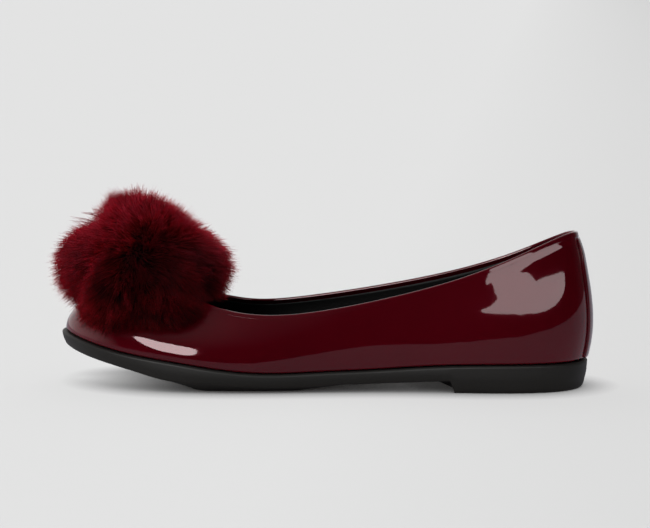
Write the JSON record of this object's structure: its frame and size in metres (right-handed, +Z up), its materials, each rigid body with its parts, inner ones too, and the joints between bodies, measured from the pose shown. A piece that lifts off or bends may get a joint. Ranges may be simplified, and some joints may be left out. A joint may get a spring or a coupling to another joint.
{
  "type": "ballet flat shoe",
  "caption": "Left ballet flat with a low moulded sole, a hollow whole-cut upper with a bound topline, and a fur pompom on the vamp.",
  "frame": {"origin": "on the floor, under the middle of the box around the whole shoe with its pompom", "axes": "+X from toe to heel, +Y towards the inner (medial) side of the foot, +Z up"},
  "size_m": [0.2586, 0.0862, 0.0937],
  "materials": {
    "sole_rubber": "satin black, moulded",
    "lining_leather": "matt black lining",
    "patent_leather": "burgundy patent, high gloss",
    "binding_leather": "burgundy patent, rolled edge",
    "strip_leather": "burgundy patent, high gloss",
    "pompom_fur": "dyed burgundy fur, long soft hair"
  },
  "bodies": {
    "root": {"outsole": "sole_rubber", "insole": "lining_leather", "upper": "patent_leather", "topline_binding": "binding_leather", "back_strip": "strip_leather", "pompom": "pompom_fur"}
  },
  "joints": []
}
